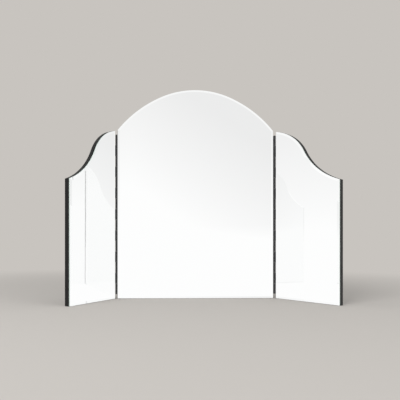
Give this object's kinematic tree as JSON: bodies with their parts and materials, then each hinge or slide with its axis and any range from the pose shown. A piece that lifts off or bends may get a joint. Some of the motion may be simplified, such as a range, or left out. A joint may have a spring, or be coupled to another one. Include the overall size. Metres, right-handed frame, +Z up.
{
  "type": "dressing table mirror",
  "caption": "Frameless folding dressing table mirror: arched centre panel and wings with S-curved tops on continuous hinges, bevelled glass on black boards, keyhole plates behind.",
  "frame": {"origin": "middle of the centre board's bottom edge, halfway through its thickness", "axes": "+X to the right seen from the front, +Y towards the wall, +Z up; the glass faces -Y"},
  "size_m": [0.6306, 0.1502, 0.5399],
  "materials": {
    "black_board": "matt black painted fibreboard",
    "mirror_glass": "silvered float glass with a narrow ground bevel",
    "foam_tape": "black double-sided foam tape",
    "hinge_steel": "satin black coated steel",
    "screw_steel": "blackened steel",
    "zinc_plate": "zinc plated steel",
    "clear_button": "soft clear plastic"
  },
  "bodies": {
    "centre": {"centre_board": "black_board", "centre_glass": "mirror_glass", "centre_tape": "foam_tape", "centre_back_buttons": "clear_button", "keyhole_plates": "zinc_plate", "keyhole_plate_screws": "screw_steel", "left_hinge_fixed_leaf": "hinge_steel", "left_hinge_pin": "hinge_steel", "left_fixed_leaf_screws": "screw_steel", "right_hinge_fixed_leaf": "hinge_steel", "right_hinge_pin": "hinge_steel", "right_fixed_leaf_screws": "screw_steel"},
    "left_wing": {"left_wing_board": "black_board", "left_wing_glass": "mirror_glass", "left_wing_tape": "foam_tape", "left_wing_back_buttons": "clear_button", "left_hinge_wing_leaf": "hinge_steel", "left_wing_leaf_screws": "screw_steel"},
    "right_wing": {"right_wing_board": "black_board", "right_wing_glass": "mirror_glass", "right_wing_tape": "foam_tape", "right_wing_back_buttons": "clear_button", "right_hinge_wing_leaf": "hinge_steel", "right_wing_leaf_screws": "screw_steel"}
  },
  "joints": [
    {"name": "left_wing_hinge", "type": "hinge", "parent": "centre", "child": "left_wing", "pos_m": [-0.2049, -0.0118, 0.217], "axis": [0, 0, 1], "range_deg": [-54, 126]},
    {"name": "right_wing_hinge", "type": "hinge", "parent": "centre", "child": "right_wing", "pos_m": [0.2049, -0.0118, 0.217], "axis": [0, 0, -1], "range_deg": [-54, 126]}
  ]
}
